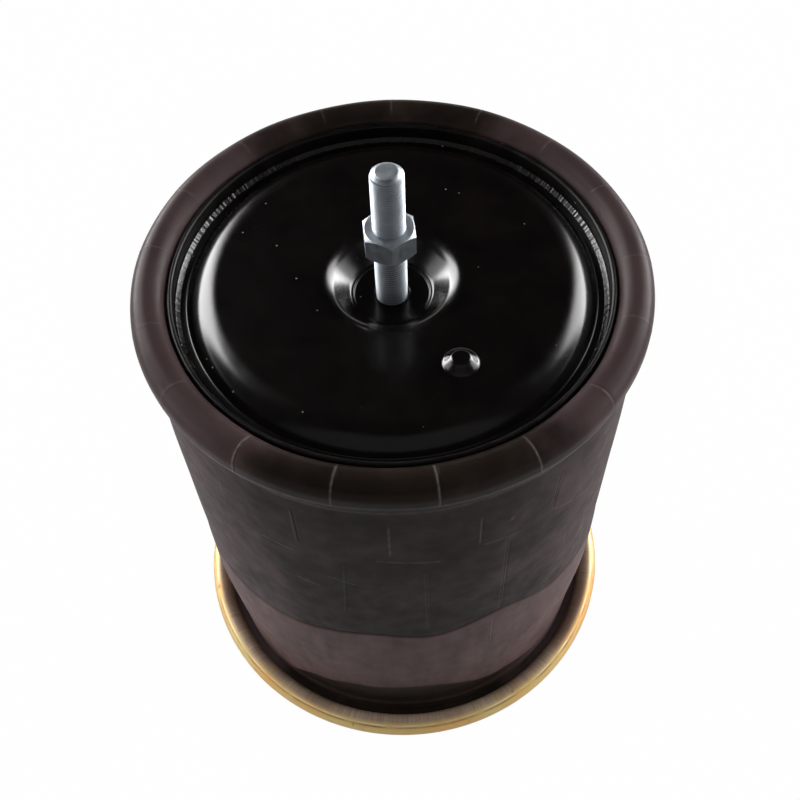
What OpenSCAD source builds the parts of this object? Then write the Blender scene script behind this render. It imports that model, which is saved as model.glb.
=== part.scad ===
// Air suspension spring: a rolling-lobe bellows on a drawn steel piston.
// It stands as it is delivered, bead plate down and piston foot up, with the lobe
// rolled along the piston to its foot. Z runs along the spring's axis, z = 0 is the
// mounting face of the bead plate, and +X points at the locating pip.

/* [Piston pot] */
// Outside diameter of the skirt at the foot
piston_d = 221; // [205:1:235]
// How much smaller the skirt's radius is where it meets the head
skirt_taper = 7; // [4.5:0.1:12]
// Height of the pot from its head to the rim of the foot
pot_h = 186.5; // [150:0.5:220]
// Thickness of the pot's sheet
pot_t = 3; // [2.5:0.1:3.6]
// Outside radius of the corner between head and skirt
head_round = 20; // [12:1:26]
// Length of skirt at the foot that is drawn without taper
straight_h = 28; // [20:1:45]
// Radius where the tapered skirt turns into the straight one
taper_round = 60; // [30:5:80]
// Radius on the edge of the skirt's rim
rim_round = 1.4; // [0.8:0.1:1.4]

/* [Piston foot] */
// Thickness of the foot disc's sheet
disc_t = 3; // [2.5:0.1:4]
// Depth of the ring channel below the rim
channel_depth = 9.5; // [7:0.1:13]
// Width of the ring channel from the skirt to the shoulder
channel_w = 6; // [5:0.1:8]
// Height of the plateau above the channel
plateau_rise = 8; // [6:0.1:10]
// Width of the shoulder's slope
shoulder_w = 8; // [7:0.1:10]
// Outside radius of the shoulder's top edge
shoulder_round = 20; // [12:0.5:21]
// Diameter of the recess where its wall leaves the plateau
recess_d = 63; // [60:1:80]
// Diameter of the recess at the foot of its wall
recess_floor_d = 41; // [40:0.5:46]
// Depth of the recess from plateau to ledge
recess_depth = 11; // [8:0.1:14]
// Radius on the top edge of the recess
recess_round = 11; // [6:0.5:16]
// Radius of the pressed corners in the channel, the recess and the end closure
press_round = 2; // [1:0.1:2.5]
// Diameter of the sunk floor round the stud
floor_d = 38; // [34:0.5:39]
// Depth of the sunk floor below the ledge
floor_step = 1; // [0.5:0.1:1.5]
// Leg of the weld between foot disc and skirt
foot_weld = 3; // [2:0.1:4]

/* [Locating pip] */
// Distance of the pip from the axis
pip_x = 62.8; // [56:0.1:70]
// Diameter of the pip at its base
pip_d = 17; // [14:0.1:20]
// Diameter of the pip's flat top
pip_top_d = 9; // [7:0.1:11]
// Height of the pip
pip_h = 4; // [3:0.1:5]

/* [Stud and nut] */
// Thread diameter of the stud
stud_d = 16; // [14:1:20]
// Length of the stud above the recess floor
stud_reach = 81.7; // [60:0.1:110]
// Chamfer on the stud's end, across the radius
stud_chamfer = 2.9; // [1.5:0.1:3.2]
// Height of the stud's chamfer
stud_chamfer_h = 2; // [1:0.1:3]
// Width across the flats of the nut
nut_af = 24; // [24:1:30]
// Height of the nut
nut_h = 13; // [10:0.5:16]
// Height of the nut's underside above the recess floor
nut_lift = 33.5; // [15:0.5:40]
// Angle to which the nut is turned
nut_turn = -25.2; // [-60:0.1:60]
// Slope of the nut's corner chamfer
nut_chamfer_angle = 30; // [20:1:40]

/* [Bellows] */
// Thickness of the bellows' wall
wall = 5; // [4:0.1:5.5]
// Outside radius of the lobe's roll
lobe_r = 8.9; // [7.5:0.1:10]
// Height of the lobe's centre line below the rim of the foot
lobe_drop = 3.3; // [1:0.1:5]
// How much smaller the sleeve's radius is at its foot than at the lobe
sleeve_slim = 13.6; // [12:0.1:15]
// How far the sleeve swells out above its neck
swell = 5.5; // [4:0.1:7]
// Height over which the sleeve swells out
swell_h = 57; // [45:1:70]
// Radius of the turn above the swell
swell_round = 200; // [100:10:300]
// How far the lobe bulges beyond the sleeve
lobe_bulge = 4.3; // [3:0.1:5]
// Height of the bulge below the lobe's centre line
bulge_h = 15; // [12:0.5:20]
// Height of the straight neck above the rolled rim
neck_h = 10; // [6:1:14]
// Radius where the neck runs into the sleeve
neck_round = 60; // [30:5:80]
// Radius of the turns above and below the bulge
bulge_round = 10; // [6:1:12]
// Radius where the bellows' foot turns out under the rolled rim
foot_round = 2; // [1:0.1:2.5]
// Radius of the rubber bead round each steel hoop
bead_r = 3.9; // [3.5:0.1:4.4]
// Wire diameter of the hoops
wire_d = 4; // [3:0.1:5]

/* [Bead plate] */
// Thickness of the bead plate's sheet
plate_t = 2.5; // [2:0.1:3]
// Width of the gap between the rolled rim and the sleeve
lip_gap = 3.9; // [3.6:0.1:6]
// Height of the rolled rim's edge above the middle of the bead
lip_end = 0.5; // [0:0.1:1]

/* [Blind nuts] */
// Distance between the two blind nuts
blind_nut_spacing = 160; // [140:1:180]
// Diameter of the blind nuts' tapped bore
blind_core_d = 10.3; // [10.1:0.1:11]
// Diameter of the blind nuts' spigot in the bead plate
blind_spigot_d = 16; // [14.5:0.5:18]
// Outside diameter of the blind nuts
blind_nut_d = 20; // [18:0.5:24]
// Diameter of the blind nuts' welding flange
blind_flange_d = 26; // [25:0.5:32]
// Thickness of the blind nuts' welding flange
blind_flange_t = 3; // [2:0.5:5]
// Height of the blind nuts above the bead plate's inner face
blind_nut_h = 22; // [18:0.5:26]
// Thickness of the blind nuts' closed end
blind_end_t = 4; // [3:0.5:6]
// Radius of the blind nuts' crown
crown_round = 4; // [2:0.5:5]
// Radius on the edges of the welding flange
flange_round = 0.8; // [0.4:0.1:1]

/* [Air port] */
// Distance of the air port from the axis
port_x = 73; // [70:1:90]
// Diameter of the air port's tapped bore
port_core_d = 20.4; // [18:0.1:21]
// Diameter of the bush's spigot in the bead plate
port_spigot_d = 27; // [26:0.5:29]
// Outside diameter of the air port's bush
port_d = 32; // [31:0.5:34]
// Height of the bush above the bead plate's inner face
port_h = 16; // [12:0.5:20]
// Leg of the weld round the bush
port_weld_leg = 3; // [2:0.1:4]

/* [End closure] */
// Thickness of the end closure's sheet
closure_t = 2.5; // [2:0.1:3]
// Outside diameter of the end closure's drawn wall
closure_wall_d = 106.8; // [100:0.1:112]
// Depth of the drawn wall below the closure's flat
closure_depth = 10.5; // [10:0.1:12]
// Height of the closure's edge above the middle of the small bead
closure_lip_end = 0.8; // [0:0.1:1]
// Diameter of the threaded boss
boss_d = 30; // [28:0.5:33]
// Height of the threaded boss
boss_h = 38; // [34:0.5:45]
// Depth of the stud's thread in the boss
stud_grip = 17; // [12:0.5:20]
// Width of the weld round the boss
boss_weld_w = 5; // [3:0.1:6]

/* [Support tube] */
// Bore of the tube between head and foot
tube_bore = 38; // [36:0.5:42]
// Wall of the tube
tube_t = 4; // [3:0.1:5]

/* [Bump stop] */
// Height of the bump stop
bump_h = 98.5; // [80:0.5:120]
// Diameter of the bump stop's body
bump_d = 92; // [84:1:96]
// Height of the tapered nose
nose_h = 24; // [16:1:28]
// How much smaller the nose's radius is at its end
nose_taper = 8; // [4:1:10]
// Depth of the waist
bump_waist = 6; // [3:0.5:8]
// Height of the waist's narrow part
waist_h = 8; // [6:1:12]
// Height of the slopes above and below the waist
waist_slope = 10; // [8:1:12]
// Radius on the bump stop's turns
bump_round = 6; // [3:0.5:7]
// Thickness of rubber under the washer
bump_grip = 16; // [12:0.5:22]
// Diameter of the bore that the bolt's head sinks in
bump_bore = 34; // [32:0.5:38]
// Gap between the bump stop and the bead plate
bump_gap = 0.5; // [0.5:0.1:3]
// Thread diameter of the bump stop's bolt
bump_bolt_d = 10; // [8:1:12]
// Thread length of the bolt in the boss
bump_bolt_grip = 14; // [10:0.5:16]
// Width across the flats of the bolt's head
bolt_af = 17; // [16:1:19]
// Height of the bolt's head
bolt_head_h = 6.5; // [5:0.5:8]
// Diameter of the washer
washer_d = 30; // [26:0.5:31]
// Thickness of the washer
washer_t = 2.5; // [1.5:0.1:4]

/* [Fits] */
// Radial clearance of the nut on the stud
nut_fit = 0.05; // [0.02:0.01:0.09]
// Gap between the lobe and the skirt that it rolls along
roll_gap = 0.3; // [0.3:0.05:0.6]
// Gap between pieces that are crimped, bonded or welded to each other
snug = 0.05; // [0.02:0.01:0.1]
// Radial clearance of a hole round what passes through it
hole_gap = 0.5; // [0.2:0.1:1]
// Gap between a bolt's end and the bottom of its hole
tip_gap = 1; // [0.5:0.1:2]

/* [Hidden] */
$fn = 96;
arc_steps = 8; // straight pieces in each rounded corner
roll_flat = 0.1; // half of the straight piece left between two corners of a bead or a roll
over = 1; // how far a cutting shape reaches past what it cuts
weld_belly = 0.6; // how far a weld's face stands out, as a share of its leg
flat_inset = 0.3; // how far inside its flats the face of a nut starts to slope

// heights of the stack, from the bead plate up
closure_z = plate_t + bump_gap + bump_h;
head_z = closure_z + closure_t;
foot_z = head_z + pot_h;
channel_z = foot_z - channel_depth;
plateau_z = channel_z + plateau_rise;
ledge_z = plateau_z - recess_depth;
floor_z = ledge_z - floor_step;
lobe_z = foot_z - lobe_drop;
stud_top_z = floor_z + stud_reach;
stud_foot_z = closure_z + boss_h - stud_grip;

// radii from the skirt out to the rolled rim of the bead plate
piston_r = piston_d / 2;
head_r = piston_r - skirt_taper;
skirt_in_r = piston_r - pot_t;
lobe_in_r = piston_r + roll_gap;
lobe_out_r = lobe_in_r + 2 * lobe_r;
neck_r = lobe_out_r - sleeve_slim;
lip_r = neck_r + lip_gap;
roll_r = bead_r + snug + plate_t;
plate_r = lip_r + 2 * roll_r;
plate_bead_r = plate_r - roll_r;

// the inner bead sits in the end closure's rolled rim, under the pot's head
closure_roll_r = bead_r + snug + closure_t;
inner_bead_r = closure_wall_d / 2 + closure_roll_r;
inner_bead_z = closure_z - closure_depth + closure_roll_r;

// the bump stop's bolt
washer_z = closure_z - bump_grip;
bolt_head_z = washer_z - washer_t;

pot_color = "#141416";
gold_color = "#c9a04c";
zinc_color = "#b9c0c8";
rubber_color = "#2b2726";
steel_color = "#6f7276";

// A corner is [r, z, radius]. These functions walk along a list of corners.
function spot(c) = [c[0], c[1]];
function unit(v) = v / norm(v);
function left_of(v) = [-v[1], v[0]];
function turn_of(a, b) = a[0] * b[1] - a[1] * b[0];

// the corner i of an open line, moved sideways by d, to the left of the way along it
function moved_corner(line, i, d) =
    let (
        last = len(line) - 1,
        p = spot(line[i]),
        a = i > 0 ? unit(p - spot(line[i - 1])) : unit(spot(line[1]) - p),
        b = i < last ? unit(spot(line[i + 1]) - p) : a,
        m = unit(left_of(a) + left_of(b)),
        q = p + m * d / (m * left_of(a))
    )
    [q[0], q[1], max(0, line[i][2] - d * sign(turn_of(a, b)))];

function moved(line, d) = [for (i = [0:len(line) - 1]) moved_corner(line, i, d)];

// the points of a round corner at p, between the corners a and b
function round_corner(a, p, b) =
    let (
        u = unit(spot(a) - spot(p)),
        v = unit(spot(b) - spot(p)),
        half = acos(max(-1, min(1, u * v))) / 2,
        r = p[2]
    )
    r <= 0 || half > 89.9 ? [spot(p)] :
    let (
        c = spot(p) + unit(u + v) * r / sin(half),
        from = spot(p) + u * r / tan(half) - c,
        way = turn_of(u, v) > 0 ? -1 : 1,
        sweep = way * (180 - 2 * half)
    )
    [for (k = [0:arc_steps])
        let (t = sweep * k / arc_steps)
        c + [from[0] * cos(t) - from[1] * sin(t), from[0] * sin(t) + from[1] * cos(t)]];

// an open line with its corners rounded
function rounded(line) = [
    for (i = [0:len(line) - 1])
        each (i == 0 || i == len(line) - 1
            ? [spot(line[i])]
            : round_corner(line[i - 1], line[i], line[i + 1]))
];

// a closed outline with its corners rounded
function rounded_loop(loop) =
    let (n = len(loop))
    [for (i = [0:n - 1]) each round_corner(loop[(i + n - 1) % n], loop[i], loop[(i + 1) % n])];

function reversed(points) = [for (i = [len(points) - 1:-1:0]) points[i]];

// a pressed or moulded sheet: a line and the same line moved sideways by its thickness
module sheet(line, from, to) {
    rotate_extrude()
        polygon(concat(rounded(moved(line, from)), reversed(rounded(moved(line, to)))));
}

// a solid turned from a closed outline
module turned(loop) {
    rotate_extrude() polygon(rounded_loop(loop));
}

// a wire ring of radius r at height z
module hoop(r, z, d) {
    translate([0, 0, z]) rotate_extrude() translate([r, 0]) circle(d = d);
}

// the space that a hoop takes in the rubber round it
module hoop_bed(r, z) {
    hoop(r, z, wire_d + 2 * snug);
}

// a fillet weld on a floor at z, round a bush of radius r, or inside a wall with inward = true
module ring_weld(r, z, leg, inward = false) {
    way = inward ? -1 : 1;
    belly = leg * weld_belly;
    rotate_extrude()
        polygon(rounded([
            [r, z, 0], [r, z + leg, 0],
            [r + way * belly, z + belly, belly], [r + way * leg, z, 0]
        ]));
}

// a six-sided prism, across the flats af
module hex(af, h) {
    cylinder(d = af / cos(30), h = h, $fn = 6);
}

// a turned blank with chamfered ends, whose common part with a prism is a nut or a bolt's head
module chamfered_blank(af, h, below, above) {
    reach = af / cos(30) / 2;
    flat_r = af / 2 - flat_inset;
    drop = (reach - flat_r) * tan(nut_chamfer_angle);
    low = below ? drop : 0;
    high = above ? drop : 0;
    rotate_extrude()
        polygon([
            [0, 0], [below ? flat_r : reach, 0], [reach, low],
            [reach, h - high], [above ? flat_r : reach, h], [0, h]
        ]);
}

// the outside line of the pot, from its hole over the head and up the skirt
pot_hole_r = boss_d / 2 + hole_gap;
pot_line = [
    [pot_hole_r, head_z, 0],
    [head_r, head_z, head_round],
    [piston_r, foot_z - straight_h, taper_round],
    [piston_r, foot_z, 0]
];

module piston_pot() {
    color(pot_color) difference() {
        sheet(pot_line, 0, pot_t);
        // the rim's edges are rounded off
        rotate_extrude()
            for (edge = [[piston_r, -1], [skirt_in_r, 1]])
                translate([edge[0] + edge[1] * rim_round, foot_z - rim_round])
                    difference() {
                        translate([edge[1] < 0 ? 0 : -rim_round - over, 0])
                            square([rim_round + over, rim_round + over]);
                        circle(r = rim_round);
                    }
    }
}

// the upper face of the foot disc, from the stud's hole out to the skirt
disc_hole_r = stud_d / 2 + hole_gap;
shoulder_r = skirt_in_r - channel_w;
disc_line = [
    [disc_hole_r, ledge_z, 0],
    [recess_floor_d / 2, ledge_z, press_round],
    [recess_d / 2, plateau_z, recess_round],
    [shoulder_r - shoulder_w, plateau_z, shoulder_round],
    [shoulder_r, channel_z, press_round],
    [skirt_in_r - snug, channel_z, 0]
];

module foot_disc() {
    color(pot_color) difference() {
        union() {
            sheet(disc_line, 0, -disc_t);
            translate([pip_x, 0, plateau_z]) cylinder(d1 = pip_d, d2 = pip_top_d, h = pip_h);
        }
        // the pip is pressed up out of the sheet and stays hollow below
        translate([pip_x, 0, plateau_z - disc_t])
            cylinder(d1 = pip_d, d2 = pip_top_d, h = pip_h);
        // the sunk floor round the stud
        translate([0, 0, floor_z]) cylinder(d = floor_d, h = 2 * floor_step);
    }
}

module foot_weld_bead() {
    color(pot_color) ring_weld(skirt_in_r - snug, channel_z, foot_weld, inward = true);
}

module support_tube() {
    bottom = head_z + pot_t;
    color(steel_color) translate([0, 0, bottom]) difference() {
        cylinder(d = tube_bore + 2 * tube_t, h = ledge_z - disc_t - bottom);
        translate([0, 0, -over]) cylinder(d = tube_bore, h = ledge_z);
    }
}

// the lower face of the end closure, from the boss out and round the inner bead
closure_line = [
    [boss_d / 2 + snug, closure_z, 0],
    [closure_wall_d / 2, closure_z, press_round],
    [closure_wall_d / 2, closure_z - closure_depth, closure_roll_r - roll_flat],
    [inner_bead_r + closure_roll_r, closure_z - closure_depth, closure_roll_r - roll_flat],
    [inner_bead_r + closure_roll_r, inner_bead_z + closure_lip_end, 0]
];

module end_closure() {
    color(gold_color) sheet(closure_line, 0, closure_t);
}

module closure_boss() {
    color(steel_color) translate([0, 0, closure_z]) difference() {
        cylinder(d = boss_d, h = boss_h);
        translate([0, 0, -over]) cylinder(d = bump_bolt_d, h = bump_bolt_grip + over);
        translate([0, 0, boss_h - stud_grip]) cylinder(d = stud_d, h = stud_grip + over);
    }
}

// a flat weld bead over the seam between the boss and the closure
module boss_weld() {
    color(steel_color) translate([0, 0, closure_z]) rotate_extrude()
        translate([boss_d / 2, 0]) intersection() {
            circle(d = boss_weld_w);
            translate([-boss_weld_w, -boss_weld_w]) square([2 * boss_weld_w, boss_weld_w]);
        }
}

module stud() {
    r = stud_d / 2;
    color(zinc_color) translate([0, 0, stud_foot_z + snug]) rotate_extrude()
        polygon([
            [0, 0], [r - snug, 0], [r - snug, stud_grip],
            [r, stud_grip], [r, stud_top_z - stud_foot_z - snug - stud_chamfer_h],
            [r - stud_chamfer, stud_top_z - stud_foot_z - snug],
            [0, stud_top_z - stud_foot_z - snug]
        ]);
}

module hex_nut() {
    color(zinc_color) translate([0, 0, floor_z + nut_lift]) rotate([0, 0, nut_turn]) difference() {
        intersection() {
            hex(nut_af, nut_h);
            chamfered_blank(nut_af, nut_h, true, true);
        }
        translate([0, 0, -over]) cylinder(r = stud_d / 2 + nut_fit, h = nut_h + 2 * over);
    }
}

// the outer face of the sleeve, from the neck over the crimp up to the lobe
sleeve_line = [
    [neck_r, 2 * roll_r, 0],
    [neck_r, 2 * roll_r + neck_h, neck_round],
    [neck_r + swell, 2 * roll_r + neck_h + swell_h, swell_round],
    [lobe_out_r - lobe_bulge, lobe_z - bulge_h, bulge_round],
    [lobe_out_r, lobe_z - bulge_h / 3, bulge_round],
    [lobe_out_r, lobe_z, 0]
];

module bellows_sleeve() {
    bottom = plate_t + snug;
    bead_out_r = plate_bead_r + bead_r;
    bead_in_r = plate_bead_r - bead_r;
    bead_top = roll_r + bead_r;
    bead_round = bead_r - roll_flat;
    // the foot turns out under the rolled rim and ends in the bead
    color(rubber_color) difference() {
        turned(concat(sleeve_line, reversed(moved(sleeve_line, wall)), [
            [neck_r - wall, bottom, foot_round], [bead_out_r, bottom, bead_round],
            [bead_out_r, bead_top, bead_round], [bead_in_r, bead_top, bead_round],
            [bead_in_r, roll_r, 0], [neck_r, roll_r, foot_round]
        ]));
        hoop_bed(plate_bead_r, roll_r);
    }
}

module bellows_lobe() {
    color(rubber_color) translate([0, 0, lobe_z]) rotate_extrude()
        translate([lobe_in_r + lobe_r, 0]) intersection() {
            difference() {
                circle(r = lobe_r);
                circle(r = lobe_r - wall);
            }
            translate([-lobe_r, 0]) square([2 * lobe_r, lobe_r]);
        }
}

// the pot's line from radius r, up to where the bellows leaves the skirt
function inner_wall_line(r) = [[r, head_z, 0], pot_line[1], pot_line[2], [piston_r, lobe_z, 0]];

module bellows_inner_wall() {
    low = inner_bead_z - bead_r;
    in_r = inner_bead_r - bead_r;
    out_r = inner_bead_r + bead_r;
    // the bead hangs into the closure's rolled rim
    color(rubber_color) difference() {
        turned(concat(
            moved(inner_wall_line(in_r), -snug),
            reversed(moved(inner_wall_line(out_r), -snug - wall)),
            [[out_r, low, bead_r - roll_flat], [in_r, low, bead_r - roll_flat]]
        ));
        hoop_bed(inner_bead_r, inner_bead_z);
    }
}

module plate_bead_hoop() {
    color(steel_color) hoop(plate_bead_r, roll_r, wire_d);
}

module piston_bead_hoop() {
    color(steel_color) hoop(inner_bead_r, inner_bead_z, wire_d);
}

// the outside of the bead plate, from its middle out and round the bead
plate_line = [
    [0, 0, 0],
    [plate_r, 0, roll_r - roll_flat],
    [plate_r, 2 * roll_r, roll_r - roll_flat],
    [lip_r, 2 * roll_r, roll_r - roll_flat],
    [lip_r, roll_r + lip_end, 0]
];

module bead_plate() {
    color(gold_color) difference() {
        sheet(plate_line, 0, plate_t);
        for (side = [-1, 1])
            translate([0, side * blind_nut_spacing / 2, -over])
                cylinder(r = blind_spigot_d / 2 + snug, h = plate_t + 2 * over);
        translate([port_x, 0, -over])
            cylinder(r = port_spigot_d / 2 + snug, h = plate_t + 2 * over);
    }
}

// a closed nut: its spigot fills the plate's hole, and its flange is welded to the inside
module blind_nut(side) {
    r = blind_nut_d / 2;
    flange_r = blind_flange_d / 2;
    flange_z = plate_t + blind_flange_t;
    top = plate_t + blind_nut_h;
    color(steel_color) translate([0, side * blind_nut_spacing / 2, 0]) difference() {
        rotate_extrude()
            polygon(rounded([
                [0, 0, 0], [blind_spigot_d / 2, 0, 0], [blind_spigot_d / 2, plate_t, 0],
                [flange_r, plate_t, flange_round], [flange_r, flange_z, flange_round],
                [r, flange_z, flange_round], [r, top, crown_round], [0, top, 0]
            ]));
        translate([0, 0, -over]) cylinder(d = blind_core_d, h = top - blind_end_t + over);
    }
}

module blind_nut_left() {
    blind_nut(1);
}

module blind_nut_right() {
    blind_nut(-1);
}

module air_port() {
    color(steel_color) translate([port_x, 0, 0]) difference() {
        union() {
            cylinder(d = port_spigot_d, h = plate_t + over);
            translate([0, 0, plate_t]) cylinder(d = port_d, h = port_h);
        }
        translate([0, 0, -over]) cylinder(d = port_core_d, h = plate_t + port_h + 2 * over);
    }
}

module port_weld() {
    color(steel_color) translate([port_x, 0, 0])
        ring_weld(port_d / 2 + snug, plate_t, port_weld_leg);
}

module bump_stop() {
    r = bump_d / 2;
    nose_z = plate_t + bump_gap;
    waist_top = closure_z - bump_grip - waist_slope;
    waist_foot = waist_top - waist_h;
    color(rubber_color) difference() {
        turned([
            [0, nose_z, 0], [r - nose_taper, nose_z, bump_round], [r, nose_z + nose_h, bump_round],
            [r, waist_foot - waist_slope, bump_round], [r - bump_waist, waist_foot, bump_round],
            [r - bump_waist, waist_top, bump_round], [r, waist_top + waist_slope, bump_round],
            [r, closure_z, press_round], [0, closure_z, 0]
        ]);
        // room for the boss's weld, the bolt and its head
        translate([0, 0, closure_z - boss_weld_w / 2 - hole_gap])
            cylinder(r = (boss_d + boss_weld_w) / 2 + hole_gap, h = boss_weld_w);
        translate([0, 0, nose_z]) cylinder(r = bump_bolt_d / 2 + hole_gap, h = bump_h);
        translate([0, 0, nose_z - over]) cylinder(d = bump_bore, h = washer_z - nose_z + over);
    }
}

module bump_washer() {
    color(zinc_color) translate([0, 0, washer_z - washer_t]) difference() {
        cylinder(d = washer_d, h = washer_t);
        translate([0, 0, -over])
            cylinder(r = bump_bolt_d / 2 + hole_gap, h = washer_t + 2 * over);
    }
}

module bump_bolt() {
    shank = bump_grip + washer_t + bump_bolt_grip - tip_gap;
    color(zinc_color) translate([0, 0, bolt_head_z]) {
        translate([0, 0, -bolt_head_h]) intersection() {
            hex(bolt_af, bolt_head_h);
            chamfered_blank(bolt_af, bolt_head_h, true, false);
        }
        translate([0, 0, -over]) cylinder(r = bump_bolt_d / 2 - snug, h = shank + over);
    }
}

bead_plate();
plate_bead_hoop();
blind_nut_left();
blind_nut_right();
air_port();
port_weld();
bellows_sleeve();
bellows_lobe();
bellows_inner_wall();
piston_bead_hoop();
piston_pot();
foot_disc();
foot_weld_bead();
support_tube();
end_closure();
closure_boss();
boss_weld();
stud();
hex_nut();
bump_stop();
bump_washer();
bump_bolt();
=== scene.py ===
# %% [markdown]
# # An air suspension spring, standing on its bead plate
# A rolling-lobe air spring is a rubber bellows between two steel parts. Here the gold bead
# plate is at the bottom, the bellows rises from it and rolls inward into a lobe at the top,
# and the black piston lies inside that lobe with its stud pointing up.
# The imported CAD model is loaded first and stays a fixed frame. Every piece made below but
# the bellows skin and its inner wall rides on one of its bodies, so the spring can still be
# drawn out and the nut still turns.

# %% Load the imported frame
import math

import bmesh
import bpy
import numpy as np
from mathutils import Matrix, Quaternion, Vector


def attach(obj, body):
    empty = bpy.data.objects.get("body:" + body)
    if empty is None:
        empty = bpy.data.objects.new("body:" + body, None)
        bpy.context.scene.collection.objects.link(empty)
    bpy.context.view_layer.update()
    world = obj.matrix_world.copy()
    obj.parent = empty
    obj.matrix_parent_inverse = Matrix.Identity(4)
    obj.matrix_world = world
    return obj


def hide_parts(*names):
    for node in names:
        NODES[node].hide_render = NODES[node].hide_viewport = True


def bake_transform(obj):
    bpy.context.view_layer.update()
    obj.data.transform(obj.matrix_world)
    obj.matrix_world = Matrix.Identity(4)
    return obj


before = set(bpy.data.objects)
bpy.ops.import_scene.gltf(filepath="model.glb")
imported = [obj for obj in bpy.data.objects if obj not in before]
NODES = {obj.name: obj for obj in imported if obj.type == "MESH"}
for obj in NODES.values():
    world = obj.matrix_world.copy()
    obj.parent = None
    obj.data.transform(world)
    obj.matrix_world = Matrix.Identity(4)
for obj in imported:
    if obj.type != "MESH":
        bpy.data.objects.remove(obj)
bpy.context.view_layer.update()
MM = 0.001

# %% [markdown]
# ## Camera
# The photographer stood high in front of the spring, about 55 degrees above the floor, with a
# slightly wide lens. A camera can be placed by trial, or worked out from points whose place on
# the real object is known. The second way was used: the place, the aim and the small roll
# below make the rims, the stud and the ring fall on the photograph's own.

# %% Camera
CAMERA_PLACE = Vector((0.326695, -0.181090, 0.710984))
CAMERA_AIM = Vector((-0.001475, 0.002766, 0.180000))
CAMERA_ROLL = math.radians(-2.443)
CAMERA_LENS = 51.26


def make_camera():
    """The one camera, which looks at the spring as the photograph does."""
    data = bpy.data.cameras.new("camera")
    data.lens = CAMERA_LENS
    camera = bpy.data.objects.new("camera", data)
    camera.location = CAMERA_PLACE
    look = (CAMERA_AIM - CAMERA_PLACE).to_track_quat("-Z", "Y")
    camera.rotation_mode = "QUATERNION"
    camera.rotation_quaternion = look @ Quaternion((0, 0, 1), CAMERA_ROLL)
    bpy.context.scene.collection.objects.link(camera)
    bpy.context.scene.camera = camera
    return camera


make_camera()
bpy.context.scene.view_settings.view_transform = "Standard"
print("camera at", [round(v, 3) for v in CAMERA_PLACE])

# %% [markdown]
# ## Helpers for node finishes
# A finish is a small net of nodes. Written out in full, each node takes several lines, so one
# helper adds a node, sets its options and fills or links its inputs. The others give what
# nearly every finish here needs: noise of a size in millimetres, a range that is stretched to
# another, and a mix of two colours.

# %% Node helpers
def put(tree, kind, inputs=None, **options):
    """Add a node, set its options, and fill or link its inputs."""
    made = tree.nodes.new("ShaderNode" + kind)
    for key, value in options.items():
        setattr(made, key, value)
    for key, value in (inputs or {}).items():
        if isinstance(value, bpy.types.NodeSocket):
            tree.links.new(value, made.inputs[key])
        else:
            made.inputs[key].default_value = value
    return made


def maths(tree, what, a, b=0.0):
    """One step of arithmetic on sockets or numbers."""
    return put(tree, "Math", {0: a, 1: b}, operation=what).outputs[0]


def scaled(tree, at, by):
    """A point or direction with each axis multiplied by its own share."""
    return put(tree, "VectorMath", {0: at, 1: by}, operation="MULTIPLY").outputs[0]


def noise(tree, at, size, detail=3.0, squeeze=None):
    """Noise from 0 to 1 with blobs about size mm across; squeeze shortens them per axis."""
    if squeeze:
        at = scaled(tree, at, squeeze)
    inputs = {"Vector": at, "Scale": 1 / (size * MM), "Detail": detail}
    return put(tree, "TexNoise", inputs).outputs["Fac"]


def spread(tree, value, low, high, out_low=0.0, out_high=1.0, soft=False):
    """The range low to high of value, stretched to out_low to out_high and clamped."""
    inputs = {"Value": value, "From Min": low, "From Max": high,
              "To Min": out_low, "To Max": out_high}
    way = "SMOOTHSTEP" if soft else "LINEAR"
    return put(tree, "MapRange", inputs, interpolation_type=way).outputs["Result"]


def mixed(tree, amount, first, second):
    """A mix of two colours: first at amount 0, second at amount 1."""
    return put(tree, "Mix", {0: amount, 6: first, 7: second}, data_type="RGBA").outputs[2]


def painted(tree, name):
    """The number that each point of the mesh carries under this name."""
    return put(tree, "Attribute", attribute_name=name).outputs["Fac"]


def mirror_rays(tree, rays):
    """1 for a ray that comes back from a mirror or through glass, else 0."""
    return maths(tree, "MAXIMUM", rays["Is Glossy Ray"], rays["Is Transmission Ray"])


def colour(red, green, blue):
    """A colour, 0 to 255 a channel, as the linear values that Blender uses."""
    linear = []
    for part in (red, green, blue):
        share = part / 255
        linear.append(share / 12.92 if share <= 0.04 else ((share + 0.055) / 1.055) ** 2.4)
    return (*linear, 1.0)


print("white comes out as", colour(255, 255, 255))

# %% [markdown]
# ## Studio
# The photograph has a pure white ground and hardly a shadow, and two big white windows of
# light stand behind the spring, one to the left and one to the right. They can be seen as
# the two long gleams on the black paint, and between and above them the studio is dark.
# Lamps could do this, but their edges are hard and they sit at one distance. A sky made of
# nodes gives soft windows at any height and width, so the world carries the light here.
# Two lower ones at the sides leave the front of the rubber dark and its sides light, and
# a faint one high in front reaches the gold ring.
# Matt and shiny surfaces take their own share of each, so that gleams and tones both fit.
# What the camera sees is plain white, and so is what shines back from metal near the floor.

# %% World
# the sky's light on matt surfaces, and what a mirror shows of it above the white horizon
SKY_FILL = 0.2
SKY_DARK = 0.018
HORIZON = math.sin(math.radians(7))
# how wide a window's soft edge is, in degrees
WINDOW_EDGE = 8
# way, half width, foot and top, in degrees; strength when low and high; share on matt surfaces
WINDOWS = {
    "back left": (197, 17, -9, 47, 13.0, 9.0, 0.2),
    "back right": (97, 14, -9, 46, 14.0, 5.0, 0.2),
    "left": (227, 20, -9, 24, 2.5, 2.0, 4.0),
    "right": (75, 20, -9, 24, 3.0, 2.5, 4.0),
    "high front": (331, 60, 34, 76, 0.12, 0.12, 8.0),
}


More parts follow.
